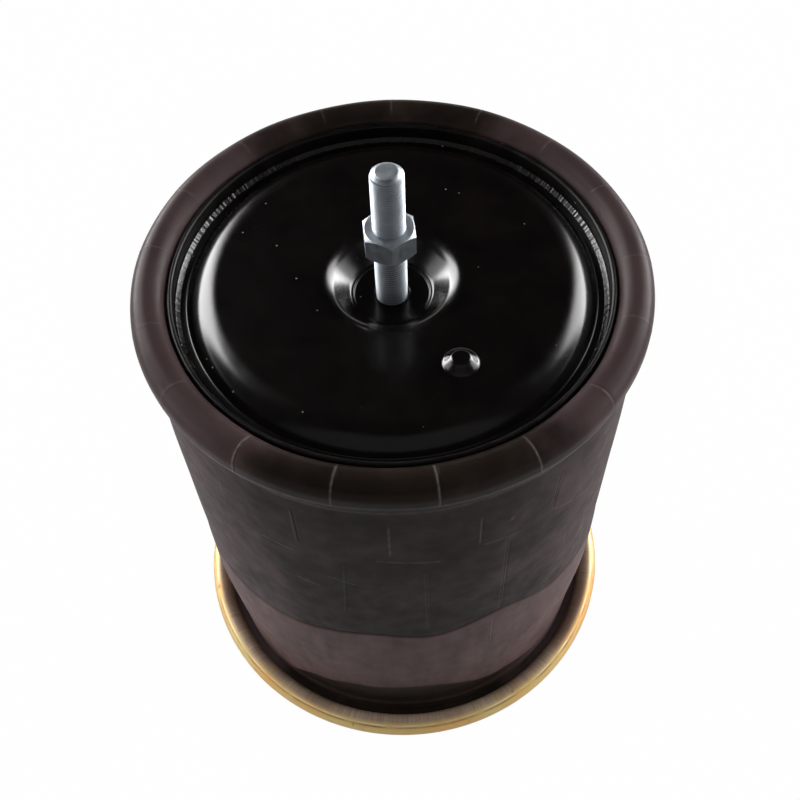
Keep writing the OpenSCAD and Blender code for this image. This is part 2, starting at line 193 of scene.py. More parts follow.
def window_of_light(tree, direction, mirror, way, half, foot, top, low, high, matt):
    """Light from a soft-edged window round the compass angle way, from foot to top. In a mirror
    its strength runs from low near the floor to high at its top; on a matt surface it is matt
    times that."""
    turned = put(tree, "VectorRotate", {"Vector": direction, "Angle": math.radians(-way)},
                 rotation_type="Z_AXIS").outputs[0]
    part = put(tree, "SeparateXYZ", {0: turned})
    aside = maths(tree, "ABSOLUTE", maths(tree, "ARCTAN2", part.outputs["Y"], part.outputs["X"]))
    across = spread(tree, aside, math.radians(half - WINDOW_EDGE),
                    math.radians(half + WINDOW_EDGE), 1.0, 0.0, soft=True)
    rise = 1.0
    for height, below, above in ((foot, 0.0, 1.0), (top, 1.0, 0.0)):
        edges = [math.sin(math.radians(height + side * WINDOW_EDGE / 2)) for side in (-1, 1)]
        rise = maths(tree, "MULTIPLY", rise,
                     spread(tree, part.outputs["Z"], *edges, below, above, soft=True))
    power = spread(tree, part.outputs["Z"], 0.1, math.sin(math.radians(top)), low, high)
    shape = maths(tree, "MULTIPLY", across, rise)
    return maths(tree, "MULTIPLY", maths(tree, "MULTIPLY", shape, power),
                 spread(tree, mirror, 0, 1, matt, 1.0))


def make_world():
    """White for the camera, and a dim studio with soft windows for all other light."""
    world = bpy.data.worlds.new("studio")
    world.use_nodes = True
    tree = world.node_tree
    tree.nodes.clear()
    direction = put(tree, "TexCoord").outputs["Generated"]
    rays = put(tree, "LightPath").outputs
    mirror = mirror_rays(tree, rays)
    height = put(tree, "SeparateXYZ", {0: direction}).outputs["Z"]
    low_white = spread(tree, height, HORIZON, HORIZON * 2, 1.0, SKY_DARK, soft=True)
    fill = put(tree, "Mix", {0: mirror, 2: SKY_FILL, 3: low_white}).outputs[0]
    for sizes in WINDOWS.values():
        fill = maths(tree, "ADD", fill, window_of_light(tree, direction, mirror, *sizes))
    strength = put(tree, "Mix", {0: rays["Is Camera Ray"], 2: fill, 3: 1.0}).outputs[0]
    light = put(tree, "Background", {"Color": (1, 1, 1, 1), "Strength": strength})
    tree.links.new(light.outputs[0], put(tree, "OutputWorld").inputs["Surface"])
    bpy.context.scene.world = world


make_world()
print("windows of light:", ", ".join(WINDOWS))

# %% Floor
FLOOR_SIZE = 12.0
# just under the spring, so that the two faces don't fight
FLOOR_DROP = 0.2 * MM
# how much of the floor's look is its own white, to the camera and in mirrors; the rest is grey
FLOOR_SHOW = 0.99
FLOOR_MIRROR = 0.6
FLOOR_GREY = 0.3


def make_floor():
    """A pale floor whose own light keeps it white while it still takes a soft shadow."""
    mesh = bpy.data.meshes.new("floor")
    half = FLOOR_SIZE / 2
    corners = [(-half, -half, 0), (half, -half, 0), (half, half, 0), (-half, half, 0)]
    mesh.from_pydata(corners, [], [(0, 1, 2, 3)])
    floor = bpy.data.objects.new("floor", mesh)
    floor.location.z = -FLOOR_DROP
    bpy.context.scene.collection.objects.link(floor)
    finish = bpy.data.materials.new("white_floor")
    finish.use_nodes = True
    tree = finish.node_tree
    tree.nodes.clear()
    rays = put(tree, "LightPath").outputs
    seen = maths(tree, "MULTIPLY", rays["Is Camera Ray"], FLOOR_SHOW)
    mirrored = maths(tree, "MULTIPLY", mirror_rays(tree, rays), FLOOR_MIRROR)
    share = maths(tree, "MAXIMUM", seen, mirrored)
    matt = put(tree, "BsdfDiffuse", {"Color": (FLOOR_GREY, FLOOR_GREY, FLOOR_GREY, 1)})
    glow = put(tree, "Emission", {"Color": (1, 1, 1, 1), "Strength": 1.0})
    both = put(tree, "MixShader", {0: share, 1: matt.outputs[0], 2: glow.outputs[0]})
    tree.links.new(both.outputs[0], put(tree, "OutputMaterial").inputs["Surface"])
    mesh.materials.append(finish)


make_floor()
print("floor", FLOOR_SIZE, "m wide")

# %% [markdown]
# ## Finishes
# The steel parts that show have three finishes: black paint on the piston, yellow passivated
# zinc on the bead plate, and bright zinc on the stud and nut. The rubber is painted nearly black
# in front and behind and plum grey at the sides, partly its own tones and partly painted shade
# and painted light, and it wears a warm grey bloom in places. Each finish is a Principled shader
# with noise in its colour, roughness and height, because no real surface is even. The paint is
# one function with three settings: thick and glossy on the foot disc, thin on the pot, and
# rough over the weld.

# %% Base of every finish
def new_finish(name, **settings):
    """A material, its node tree, its shader, and the point on the piece in metres."""
    finish = bpy.data.materials.new(name)
    finish.use_nodes = True
    tree = finish.node_tree
    shader = tree.nodes["Principled BSDF"]
    for key, value in settings.items():
        shader.inputs[key.replace("_", " ")].default_value = value
    return finish, tree, shader, put(tree, "TexCoord").outputs["Object"]


def relief(tree, shader, height, depth, before=None):
    """Raise the surface by depth mm where height is 1; before is another relief under it."""
    inputs = {"Height": height, "Distance": depth * MM, "Strength": 1.0}
    if before:
        inputs["Normal"] = before.outputs[0]
    bump = put(tree, "Bump", inputs)
    tree.links.new(bump.outputs[0], shader.inputs["Normal"])
    return bump


def feed(tree, shader, **sockets):
    """Link sockets to the shader's inputs."""
    for key, value in sockets.items():
        tree.links.new(value, shader.inputs[key.replace("_", " ")])


# %% Black paint
def black_paint(name, shine, coat, smooth, rough, grit):
    """Dipped black paint with a slight orange peel and some dust. shine is its specular level
    and coat its clear coat, smooth and rough are the two ends of its roughness, and grit is how
    high the fine bumps under it stand, in mm."""
    finish, tree, shader, at = new_finish(name, IOR=1.6, Specular_IOR_Level=shine,
                                          Coat_Weight=coat, Coat_Roughness=0.12)
    cloud = noise(tree, at, 24, 4)
    tone = mixed(tree, spread(tree, cloud, 0.35, 0.7), colour(4, 2, 2), colour(12, 8, 7))
    cell = put(tree, "TexVoronoi", {"Vector": at, "Scale": 1 / (6 * MM)})
    core = spread(tree, cell.outputs["Distance"], 0.04, 0.09, 1.0, 0.0)
    pick = put(tree, "SeparateXYZ", {0: cell.outputs["Color"]}).outputs["X"]
    dust = maths(tree, "MULTIPLY", core, maths(tree, "GREATER_THAN", pick, 0.86))
    feed(tree, shader,
         Base_Color=mixed(tree, dust, tone, colour(150, 146, 140)),
         Roughness=spread(tree, noise(tree, at, 9, 5), 0.3, 0.7, smooth, rough))
    bumps = relief(tree, shader, noise(tree, at, 0.8, 2), grit)
    peel = relief(tree, shader, noise(tree, at, 2.2, 2), 0.012, bumps)
    relief(tree, shader, maths(tree, "ADD", noise(tree, at, 14, 2), dust), 0.035, peel)
    return finish


# %% Places round the axis
FLAT = (1, 1, 0)
RIM_R = 128.0


def way_out(tree, at):
    """The direction from the spring's axis to the point, at length 1."""
    return put(tree, "VectorMath", {0: scaled(tree, at, FLAT)}, operation="NORMALIZE").outputs[0]


def round_axis(tree, at, size):
    """Noise that changes only with the angle round the axis, in streaks size mm wide at the rim."""
    return noise(tree, way_out(tree, at), size / (RIM_R * MM), 3)


# %% Yellow zinc
# the rim's inner side, browned by the rolling, fades out between these radii and heights
INWARD_R = (125.5, 128.5)
INWARD_Z = (4, 8)
# radius and colour of a painted highlight line along the crest of the rim, and of a dark line
# beside it
CREST_HIGHLIGHT_AND_DARK_LINE = ((128.4, (246, 236, 208)), (129.4, (104, 76, 48)))


def yellow_zinc():
    """Yellow passivated zinc: gold outside, silver and brown where the rim was rolled over, with a
    painted highlight line along the rim's crest and a dark line beside it.
    """
    finish, tree, shader, at = new_finish("yellow_passivated_zinc", Metallic=0.4,
                                          Coat_Weight=0.3, Coat_Roughness=0.25)
    flat = scaled(tree, at, FLAT)
    reach = put(tree, "VectorMath", {0: flat}, operation="LENGTH").outputs["Value"]
    height = put(tree, "SeparateXYZ", {0: at}).outputs["Z"]
    rolled = spread(tree, reach, INWARD_R[0] * MM, INWARD_R[1] * MM, 1.0, 0.0, soft=True)
    inward = maths(tree, "MULTIPLY", rolled,
                   spread(tree, height, INWARD_Z[0] * MM, INWARD_Z[1] * MM))
    drift = spread(tree, noise(tree, at, 38, 4), 0.35, 0.68)
    gold = mixed(tree, drift, colour(220, 168, 92), colour(212, 186, 120))
    silver = mixed(tree, drift, colour(134, 110, 94), colour(180, 160, 138))
    streaks = spread(tree, round_axis(tree, at, 1.1), 0.4, 0.7, 0.0, 0.6)
    silver = mixed(tree, streaks, silver, colour(122, 98, 84))
    worn_and_highlit = mixed(tree, inward, gold, silver)
    patchy = spread(tree, noise(tree, at, 16, 6), 0.35, 0.65, 0.0, 0.8)
    # painted highlight: a light line along the rim's crest, then a dark line beside it
    for middle, tone in CREST_HIGHLIGHT_AND_DARK_LINE:
        line = maths(tree, "ABSOLUTE", maths(tree, "SUBTRACT", reach, middle * MM))
        line = spread(tree, line, 0.1 * MM, 0.6 * MM, 1.0, 0.0, soft=True)
        worn_and_highlit = mixed(tree, maths(tree, "MULTIPLY", line, patchy), worn_and_highlit, colour(*tone))
    smear = spread(tree, noise(tree, at, 9, 6, (1, 1, 2.5)), 0.55, 0.8, 0.0, 0.7)
    browned = mixed(tree, smear, worn_and_highlit, colour(184, 142, 94))
    stain = spread(tree, noise(tree, at, 7, 5), 0.69, 0.75, 0.0, 0.7)
    feed(tree, shader,
         Base_Color=mixed(tree, stain, browned, colour(150, 84, 52)),
         Roughness=spread(tree, noise(tree, at, 5, 5), 0.25, 0.75, 0.42, 0.58))
    grain = relief(tree, shader, noise(tree, at, 1.6, 4), 0.02)
    relief(tree, shader, maths(tree, "MULTIPLY", round_axis(tree, at, 1.2), inward), 0.02, grain)
    return finish


# %% Bright zinc and plain steel
def bright_zinc():
    """Electroplated zinc: bluish, fairly bright and a little cloudy, with painted shade in its
    grooves.
    """
    finish, tree, shader, at = new_finish("bright_zinc", Metallic=1.0)
    cloud = noise(tree, at, 7, 4)
    # painted shade: the thread's grooves darken towards black
    groove = painted(tree, "groove")
    bare_zinc = mixed(tree, cloud, colour(146, 153, 161), colour(188, 194, 199))
    feed(tree, shader,
         Base_Color=mixed(tree, groove, bare_zinc, colour(30, 30, 30)),
         Roughness=spread(tree, noise(tree, at, 2.5, 4), 0.25, 0.75, 0.38, 0.54))
    relief(tree, shader, noise(tree, at, 0.7, 3), 0.012)
    return finish


def plain_steel():
    """Bare turned or rolled steel with a film of oil and some discolouring."""
    finish, tree, shader, at = new_finish("plain_steel", Metallic=1.0)
    cloud = noise(tree, at, 11, 5)
    feed(tree, shader,
         Base_Color=mixed(tree, cloud, colour(118, 118, 120), colour(164, 160, 154)),
         Roughness=spread(tree, noise(tree, at, 3, 4), 0.25, 0.75, 0.30, 0.5))
    relief(tree, shader, noise(tree, at, 0.8, 3, (1, 1, 6)), 0.02)
    return finish


# %% Rubber
# the rubber facing this way and the opposite way is painted nearly black, and plum grey at the
# sides between: partly the rubber's own greener and purpler tones, partly painted shade in front
# and behind and painted light at the sides
SHADED_FRONT_TURN = math.radians(331)
SHADED_FRONT = (math.cos(SHADED_FRONT_TURN), math.sin(SHADED_FRONT_TURN), 0)
# how much the fold darkens and smooths the rubber
FOLD_SHARE = 0.12


def bellows_rubber():
    """Cured rubber, painted nearly black in front and behind and plum grey at the sides: partly its
    own tones, partly painted shade and painted light. Chalk, bloom and fold are painted on the
    mesh: on the fold the rubber is stretched, so darker and glossier."""
    finish, tree, shader, at = new_finish("bellows_rubber", Specular_IOR_Level=0.06)
    chalk = painted(tree, "chalk")
    bloom = painted(tree, "bloom")
    fold = painted(tree, "fold")
    # painted shade in front and behind and painted light at the sides, partly the rubber's own
    # tones
    ahead = put(tree, "VectorMath", {0: way_out(tree, at), 1: SHADED_FRONT}, operation="DOT_PRODUCT")
    ahead = maths(tree, "ABSOLUTE", ahead.outputs["Value"])
    ragged = spread(tree, noise(tree, at, 40, 4), 0.3, 0.7, -0.2, 0.2)
    aside = spread(tree, maths(tree, "ADD", ahead, ragged), 0.62, 0.98, 1.0, 0.0, soft=True)
    cloud = spread(tree, noise(tree, at, 24, 5, (1, 1, 1.6)), 0.3, 0.7)
    shaded_front_tone = mixed(tree, cloud, colour(26, 20, 16), colour(37, 29, 24))
    plum = mixed(tree, cloud, colour(62, 50, 51), colour(72, 58, 58))
    upright = noise(tree, at, 10, 3, (1, 1, 0.3))
    strength = maths(tree, "MULTIPLY", bloom, spread(tree, upright, 0.3, 0.7, 0.55, 1.0))
    shaded_lit_and_dusty = mixed(tree, strength, mixed(tree, aside, shaded_front_tone, plum), colour(100, 80, 80))
    stretched = maths(tree, "MULTIPLY", fold, FOLD_SHARE)
    wiped = mixed(tree, stretched, shaded_lit_and_dusty, colour(14, 11, 12))
    rough = spread(tree, noise(tree, at, 8, 4), 0.3, 0.7, 0.4, 0.52)
    feed(tree, shader,
         Base_Color=mixed(tree, chalk, wiped, colour(150, 141, 136)),
         Roughness=maths(tree, "SUBTRACT", rough, stretched))
    weave = relief(tree, shader, noise(tree, at, 1.1, 3), 0.03)
    relief(tree, shader, noise(tree, at, 12, 3), 0.15, weave)
    return finish


def stop_rubber():
    """The bump stop's harder, blacker rubber."""
    finish, tree, shader, at = new_finish("bump_rubber", Specular_IOR_Level=0.35)
    cloud = noise(tree, at, 18, 4)
    feed(tree, shader,
         Base_Color=mixed(tree, cloud, colour(24, 23, 23), colour(40, 38, 37)),
         Roughness=spread(tree, noise(tree, at, 6, 4), 0.3, 0.7, 0.5, 0.68))
    relief(tree, shader, noise(tree, at, 1.4, 3), 0.03)
    return finish


# %% All finishes
FINISH = {
    "black_paint": black_paint("black_gloss_paint", shine=0.5, coat=0.05, smooth=0.17,
                               rough=0.215, grit=0.0),
    "thin_paint": black_paint("thin_black_paint", shine=0.15, coat=0.0, smooth=0.3,
                              rough=0.45, grit=0.004),
    "weld_paint": black_paint("black_paint_on_weld", shine=0.5, coat=0.0, smooth=0.18,
                              rough=0.34, grit=0.12),
    "yellow_zinc": yellow_zinc(),
    "bright_zinc": bright_zinc(),
    "plain_steel": plain_steel(),
    "bellows_rubber": bellows_rubber(),
    "bump_rubber": stop_rubber(),
}
print("finishes:", ", ".join(FINISH))

# %% [markdown]
# ## Turned and pressed pieces
# Nearly every piece of an air spring is round, so nearly every mesh here starts as an outline
# of radius and height that is turned round the axis. A Screw modifier could turn it, but
# then nothing on the piece could change with the angle. Building the rows and columns
# directly lets one function move each point a little along the outline's own normal, for
# ripples, ply edges, wrap marks and threads.

# %% Outlines with round corners
def unit(v):
    """v at length 1."""
    return v / np.hypot(*v)


def round_corner(before, corner, after, step):
    """The points of one corner (r, z, radius), with steps of about step mm."""
    p = np.array(corner[:2], float)
    radius = corner[2]
    u = unit(np.array(before[:2], float) - p)
    v = unit(np.array(after[:2], float) - p)
    half = math.acos(max(-1.0, min(1.0, float(u @ v)))) / 2
    if radius <= 0 or half > math.radians(89.9):
        return [p]
    centre = p + unit(u + v) * radius / math.sin(half)
    start = p + u * radius / math.tan(half) - centre
    sweep = (math.pi - 2 * half) * (-1 if u[0] * v[1] - u[1] * v[0] > 0 else 1)
    count = max(3, math.ceil(abs(sweep) * radius / step))
    turns = sweep * np.arange(count + 1) / count
    return [centre + (start[0] * math.cos(t) - start[1] * math.sin(t),
                      start[0] * math.sin(t) + start[1] * math.cos(t)) for t in turns]


def rounded(corners, step=0.5, closed=False):
    """A line of corners (r, z, radius) in mm as points, its corners turned into arcs."""
    points = []
    last = len(corners) - 1
    for i, corner in enumerate(corners):
        if closed or 0 < i < last:
            points += round_corner(corners[i - 1], corner, corners[(i + 1) % len(corners)], step)
        else:
            points.append(np.array(corner[:2], float))
    return points


def moved(corners, shift):
    """The same line shift mm to its left, so that a sheet keeps its thickness."""
    out = []
    last = len(corners) - 1
    for i, (r, z, radius) in enumerate(corners):
        p = np.array((r, z), float)
        ahead = unit(np.array(corners[i + 1][:2]) - p) if i < last else None
        behind = unit(p - np.array(corners[i - 1][:2])) if i else ahead
        ahead = behind if ahead is None else ahead
        left = unit(np.array((-behind[1] - ahead[1], behind[0] + ahead[0])))
        q = p + left * shift / (left @ np.array((-behind[1], behind[0])))
        side = np.sign(behind[0] * ahead[1] - behind[1] * ahead[0])
        out.append((q[0], q[1], max(0.0, radius - shift * side)))
    return out


def filled_in(points, longest, closed=True):
    """The same outline with no step longer than longest mm."""
    points = [np.array(p, float) for p in points]
    pairs = list(zip(points, points[1:] + points[:1] if closed else points[1:]))
    out = []
    for a, b in pairs:
        count = max(1, math.ceil(np.hypot(*(b - a)) / longest))
        out += [a + (b - a) * k / count for k in range(count)]
    return np.array(out if closed else out + [points[-1]])


# %% Turn an outline round the axis
def even_columns(count):
    """count angles once round."""
    return np.arange(count) * 2 * math.pi / count


def outline_normals(outline):
    """The direction out of the material at each point of a closed outline."""
    way = np.roll(outline, -1, 0) - np.roll(outline, 1, 0)
    way /= np.maximum(np.hypot(way[:, 0], way[:, 1]), 1e-9)[:, None]
    return np.stack([way[:, 1], -way[:, 0]], 1)


def turn_indices(outline, columns):
    """The vertex number of each row and column; a row on the axis is one vertex."""
    numbers = np.zeros((len(outline), columns), int)
    count = 0
    for i, (r, _) in enumerate(outline):
        if r < 1e-6:
            numbers[i] = count
            count += 1
        else:
            numbers[i] = count + np.arange(columns)
            count += columns
    return numbers, count


def turn_faces(numbers):
    """The faces between neighbouring rows, without those that shrink to a line."""
    faces = []
    ahead = np.roll(numbers, -1, 1)
    for i in range(len(numbers)):
        k = (i + 1) % len(numbers)
        low_pole = numbers[i, 0] == numbers[i, -1]
        high_pole = numbers[k, 0] == numbers[k, -1]
        if low_pole and high_pole:
            continue
        if low_pole:
            rows = (numbers[i], ahead[k], numbers[k])
        elif high_pole:
            rows = (numbers[i], ahead[i], numbers[k])
        else:
            rows = (numbers[i], ahead[i], ahead[k], numbers[k])
        faces += np.stack(rows, 1).tolist()
    return faces


def new_piece(name, co, faces, finish, values):
    """An object from its points in mm, its faces, and numbers per point that its finish reads."""
    mesh = bpy.data.meshes.new(name)
    mesh.from_pydata((co * MM).tolist(), [], faces)
    for key, column in values.items():
        mesh.attributes.new(key, "FLOAT", "POINT").data.foreach_set("value", column)
    mesh.shade_smooth()
    mesh.materials.append(finish)
    piece = bpy.data.objects.new(name, mesh)
    bpy.context.scene.collection.objects.link(piece)
    print(name, len(mesh.vertices), "points")
    return piece


def turned_piece(name, outline, columns, finish, lift=None, centre=(0, 0), values=None):
    """Turn a closed outline in mm, anticlockwise in (r, z), into a piece in metres.
    lift gives for each row and column how far the point moves out, in mm, and values are
    numbers per point that its finish reads by name."""
    outline = np.array(outline, float)
    angles = even_columns(columns) if isinstance(columns, int) else columns
    numbers, count = turn_indices(outline, len(angles))
    r = np.repeat(outline[:, :1], len(angles), 1)
    z = np.repeat(outline[:, 1:], len(angles), 1)
    if lift is not None:
        out = outline_normals(outline)
        r = r + lift * out[:, :1]
        z = z + lift * out[:, 1:]
    co = np.zeros((count, 3))
    co[numbers, 0] = centre[0] + r * np.cos(angles)
    co[numbers, 1] = centre[1] + r * np.sin(angles)
    co[numbers, 2] = z
    columns_of_values = {}
    for key, table in (values or {}).items():
        column = np.zeros(count, np.float32)
        column[numbers] = table
        columns_of_values[key] = column
    return new_piece(name, co, turn_faces(numbers), finish, columns_of_values)


# %% [markdown]
# ## Bead plate
# The bead plate is one disc of steel sheet. Its rim is rolled up and inward over the rubber
# bead until it grips it, which leaves the fat round ring at the foot of the spring.
# A turned sheet outline gives both faces of the sheet, and its holes are cut afterwards.

# %% Sizes of the bead plate, in mm
PLATE_T = 2.5
PLATE_R = 131.8
LIP_R = 118.9
LIP_END = 0.5
ROLL_R = 6.45
ROLL_CORNER = 6.35
CRIMP_TOP = 2 * ROLL_R
BLIND_NUT_Y = 80.0
BLIND_HOLE_R = 8.05
PORT_X = 73.0
PORT_HOLE_R = 13.55
PLATE_LINE = [
    (0, 0, 0), (PLATE_R, 0, ROLL_CORNER), (PLATE_R, CRIMP_TOP, ROLL_CORNER),
    (LIP_R, CRIMP_TOP, ROLL_CORNER), (LIP_R, ROLL_R + LIP_END, 0),
]
# an uneven face is drawn this far inside the CAD's own, so that its waves don't pass it
PLATE_INSET = 0.18


# %% Bead plate
CUTTER_H = 12.0


def hole_cutter(x, y, r):
    """A round bar that cuts a hole through the plate."""
    mesh = bpy.data.meshes.new("cutter")
    shape = bmesh.new()
    bmesh.ops.create_cone(shape, cap_ends=True, segments=96, radius1=r * MM, radius2=r * MM,
                          depth=CUTTER_H * MM)
    bmesh.ops.translate(shape, verts=shape.verts, vec=(x * MM, y * MM, 0))
    shape.to_mesh(mesh)
    shape.free()
    cutter = bpy.data.objects.new("cutter", mesh)
    bpy.context.scene.collection.objects.link(cutter)
    return cutter


def settled(piece):
    """Apply all modifiers of a piece to its mesh."""
    bpy.context.view_layer.update()
    seen = piece.evaluated_get(bpy.context.evaluated_depsgraph_get())
    mesh = bpy.data.meshes.new_from_object(seen)
    piece.modifiers.clear()
    piece.data = mesh
    return piece


def make_bead_plate():
    """The pressed plate with its rolled rim, and holes for two nuts and the air port."""
    sheet = rounded(PLATE_LINE, 0.5) + rounded(moved(PLATE_LINE, PLATE_T), 0.5)[::-1]
    outline = filled_in(sheet, 6.0)
    angles = even_columns(480)
    rows = outline[:, :1]
    ripple = 0.10 * np.sin(9 * angles + 0.6) + 0.07 * np.sin(23 * angles) * np.ones_like(rows)
    lift = ripple * np.clip((rows - 110) / 15, 0, 1) * (outline[:, 1:] > 6)
    piece = turned_piece("bead_plate_rolled", outline, angles, FINISH["yellow_zinc"],
                         lift - PLATE_INSET)
    for x, y, r in ((0, BLIND_NUT_Y, BLIND_HOLE_R), (0, -BLIND_NUT_Y, BLIND_HOLE_R),
                    (PORT_X, 0, PORT_HOLE_R)):
        cutter = hole_cutter(x, y, r)
        cut = piece.modifiers.new("hole", "BOOLEAN")
        cut.operation = "DIFFERENCE"
        cut.object = cutter
        settled(piece)
        bpy.data.objects.remove(cutter)
    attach(piece, "plate_end")
    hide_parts("bead_plate")


make_bead_plate()

# %% [markdown]
# ## The bellows: sleeve and lobe
# The bellows is laid up from cord plies and rubber and cured under a wrap of tape. The tape
# leaves short upright lines in staggered rows, like the joints of a brick wall, and the
# turned-up plies end in a step that runs round the foot in a slow wave. From the sleeve the
# rubber turns over in a lobe and runs down inside, so sleeve and lobe are one skin here.
# The rows of the mesh follow the two ply edges, and its columns crowd together at each line,
# so both stay crisp without a very heavy mesh.

# %% Line of the skin
WALL = 5.0
LOBE_Z = 287.2
LOBE_R = 8.9
LOBE_MID_R = 119.7
LOBE_OUT_R = LOBE_MID_R + LOBE_R
LOBE_BULGE = 4.3
BULGE_H = 15.0
NECK_R = 115.0
NECK_H = 10.0
SWELL = 5.5
SWELL_H = 57.0
PLATE_BEAD_R = 125.35
BEAD_R = 3.9
BEAD_CORNER = BEAD_R - 0.1
SKIN_FOOT = 2.6
SLEEVE_LINE = [
    (NECK_R, CRIMP_TOP, 0), (NECK_R, CRIMP_TOP + NECK_H, 60),
    (NECK_R + SWELL, CRIMP_TOP + NECK_H + SWELL_H, 200),
    (LOBE_OUT_R - LOBE_BULGE, LOBE_Z - BULGE_H, 10),
    (LOBE_OUT_R, LOBE_Z - BULGE_H / 3, 10), (LOBE_OUT_R, LOBE_Z, 0),
]
# from which height to which the rows of the outer face stand how far apart
ROW_SPANS = [(CRIMP_TOP, 24, 1.0), (24, 183, 1.6), (183, 231, 0.75), (231, 262, 1.6),
             (262, LOBE_Z, 0.8)]


def arc(radius, start, end, count):
    """Points round the lobe's middle circle, from one angle to another."""
    return [(LOBE_MID_R + radius * math.cos(t), LOBE_Z + radius * math.sin(t))
            for t in np.linspace(start, end, count)]


def skin_outline():
    """The closed outline of sleeve and lobe, anticlockwise, and where its outer face ends."""
    line = np.array(rounded(SLEEVE_LINE, 0.9))
    heights = np.concatenate([np.arange(low, high, step) for low, high, step in ROW_SPANS])
    heights = np.append(heights, LOBE_Z)
    outer = np.stack([np.interp(heights, line[:, 1], line[:, 0]), heights], 1)
    over = arc(LOBE_R, 0, math.pi, 34)[1:]
    under = arc(LOBE_R - WALL, math.pi, 0, 12)
    inner = filled_in(rounded(moved(SLEEVE_LINE, WALL), 2), 12, closed=False)[::-1]
    bead_top = ROLL_R + BEAD_R
    foot = rounded([
        (NECK_R - WALL, SKIN_FOOT, 2), (PLATE_BEAD_R + BEAD_R, SKIN_FOOT, BEAD_CORNER),
        (PLATE_BEAD_R + BEAD_R, bead_top, BEAD_CORNER),
        (PLATE_BEAD_R - BEAD_R, bead_top, BEAD_CORNER),
        (PLATE_BEAD_R - BEAD_R, ROLL_R, 0.3), (NECK_R, ROLL_R, 2),
    ], 0.8, closed=True)
    outline = np.array(list(outer) + over + under + list(inner[1:]) + foot)
    return outline, len(outer), len(outer) + len(over)


SKIN, SLEEVE_ROWS, OUTER_ROWS = skin_outline()
print("skin outline:", len(SKIN), "rows, of which", OUTER_ROWS, "outside")

# %% Wrap lines and ply edges, as angles in degrees and heights in mm
# upright lines: angle at the top, angle at the foot, top, foot, strength, negative if dark
LOBE_LINES = [(-64, -64, 298, 281, 0.8), (-42.8, -42.8, 298, 281, 0.75),
              (-21.7, -21.7, 298, 283, 0.8), (-0.8, 0, 298, 279, 0.65)]
MIDDLE_LINES = [(-73, -73.5, 255, 220, 0.35), (-53.2, -53.2, 261, 229, -0.8),
                (-32.1, -32.1, 260, 229, 0.6), (-12, -12, 255, 229, 0.5),
                (8.5, 7.2, 261, 224, -0.9)]
LOW_LINES = [(-42.5, -44, 218, 160, -0.5), (-24.2, -23.5, 211, 140, -0.6),
             (-4.5, -4.5, 220, 141, -0.9), (15.3, 15.3, 183, 165, 0.3),
             (-6.6, -6.6, 132, 94, -0.6)]
# scuffs: angle and height of one end, then of the other, and the strength
SCUFFS = [(-63, 219, -55, 218, 0.5), (-55, 188, -50, 186, 0.5), (-35, 225, -21, 220.5, 0.45),
          (8, 225, 23, 205, 0.55), (-10.5, 226.5, -0.5, 223, 0.4), (-47, 200, -41, 196, 0.4),
          (70, 212, 82, 206, 0.5), (118, 190, 131, 194, 0.4), (171, 222, 180, 214, 0.5),
          (222, 198, 233, 201, 0.4)]
# angle and height of a small blister, and how far it stands out
BLISTER = (-4.5, 243, 0.45)
# the lines round the back are this much fainter, and 17 of them go once round
FADED = 0.45
LINE_PITCH = 360 / 17


def round_the_back(lines):
    """The lines seen in front, and others like them at the same pitch round the back."""
    front = sorted(lines)
    out = list(front)
    angle = front[-1][0] + LINE_PITCH
    k = 0
    while angle < front[0][0] + 360 - LINE_PITCH / 2:
        like = front[k % len(front)]
        sway = 1.5 * math.sin(2.4 * k)
        out.append((angle + sway, angle + sway, like[2] + 2 * math.sin(k),
                    like[3] + 4 * math.cos(3 * k), like[4] * FADED))
        angle += LINE_PITCH
        k += 1
    return out


LINES = round_the_back(LOBE_LINES) + round_the_back(MIDDLE_LINES) + round_the_back(LOW_LINES)
# the two ply edges: angle and height
UPPER_PLY = [(-82.5, 120), (-68, 122), (-36, 134), (-23, 130), (-4.5, 139), (17, 123),
             (60, 108), (110, 116), (160, 132), (200, 121), (240, 112)]
LOWER_PLY = [(-71, 17), (-57.5, 36), (-44, 46), (-26, 51), (0, 29), (18, 20), (60, 19),
             (110, 28), (160, 41), (210, 28), (250, 18)]
print(len(LINES), "wrap lines")


# %% Helpers for marks on the skin
SLEEVE_R = 122.0
# how far a wrap line's ridge stands out beside its groove, and how pale its chalk is
RIDGE = 0.22
GROOVE = 0.26
PALE_CHALK = 0.42
DARK_CHALK = 0.16
SCUFF_H = 0.12


def angle_from(angles, middle):
    """The angles as seen from middle, from half a turn back to half a turn on."""
    return (angles - middle + math.pi) % (2 * math.pi) - math.pi


def wave(points, angles):
    """A smooth closed curve through points of (degrees, value), read at angles in radians."""
    at, value = np.array(sorted((a % 360, v) for a, v in points)).T
    at = np.concatenate([at - 360, at, at + 360])
    value = np.tile(value, 3)
    degrees = np.degrees(angles) % 360
    k = np.searchsorted(at, degrees, "right") - 1
    share = (degrees - at[k]) / (at[k + 1] - at[k])
    return value[k] + (value[k + 1] - value[k]) * (share * share * (3 - 2 * share))


def crowded_columns(count):
    """count even angles, and more of them near each line and across each scuff."""
    near = np.array([-1.5, -0.95, -0.55, -0.25, 0, 0.25, 0.55, 0.95, 1.5]) / SLEEVE_R
    angles = [even_columns(count)]
    for top, foot, _, _, strength in LINES:
        crowd = near if abs(strength) > 0.45 else near[::2]
        angles.append(math.radians((top + foot) / 2) + crowd)
    for first, _, last, _, _ in SCUFFS:
        angles.append(np.radians(np.arange(first - 0.5, last + 0.5, 0.36)))
    angles = np.sort(np.concatenate(angles) % (2 * math.pi))
    keep = np.concatenate([[True], np.diff(angles) > 0.16 / SLEEVE_R])
    return angles[keep]


def bell(x, width):
    """A smooth bump of height 1 and about width across."""
    return np.exp(-(x / (0.5 * width)) ** 2)


